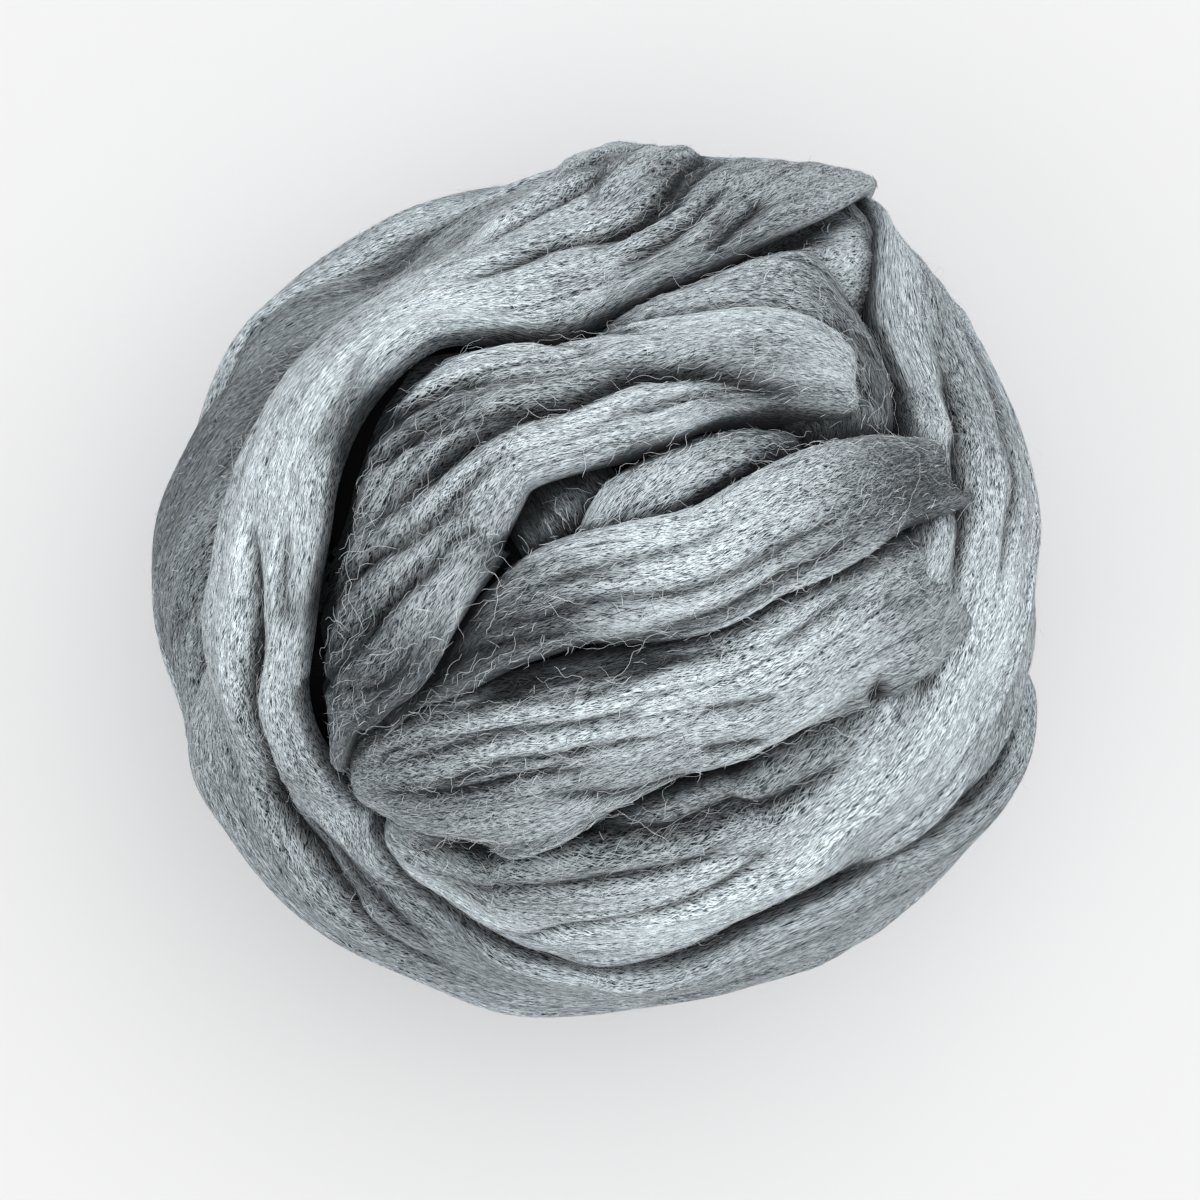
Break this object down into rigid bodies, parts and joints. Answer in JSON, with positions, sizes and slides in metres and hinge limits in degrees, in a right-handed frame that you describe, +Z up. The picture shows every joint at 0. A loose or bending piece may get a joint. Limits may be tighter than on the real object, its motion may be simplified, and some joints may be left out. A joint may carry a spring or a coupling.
{
  "type": "wool roving ball",
  "caption": "Hand-wound ball of soft combed wool roving, with wide overlapping turns and deep folds between them; rests on a small flat spot.",
  "frame": {"origin": "on the surface the ball rests on, under the middle of its bounding box", "axes": "+Z up; +X to the right and +Y towards the top of the picture, which looks straight down on the ball"},
  "size_m": [0.1492, 0.1452, 0.1402],
  "materials": {
    "wool": "soft matte combed wool, grey-blue"
  },
  "bodies": {
    "root": {"wound_ball": "wool"}
  },
  "joints": []
}
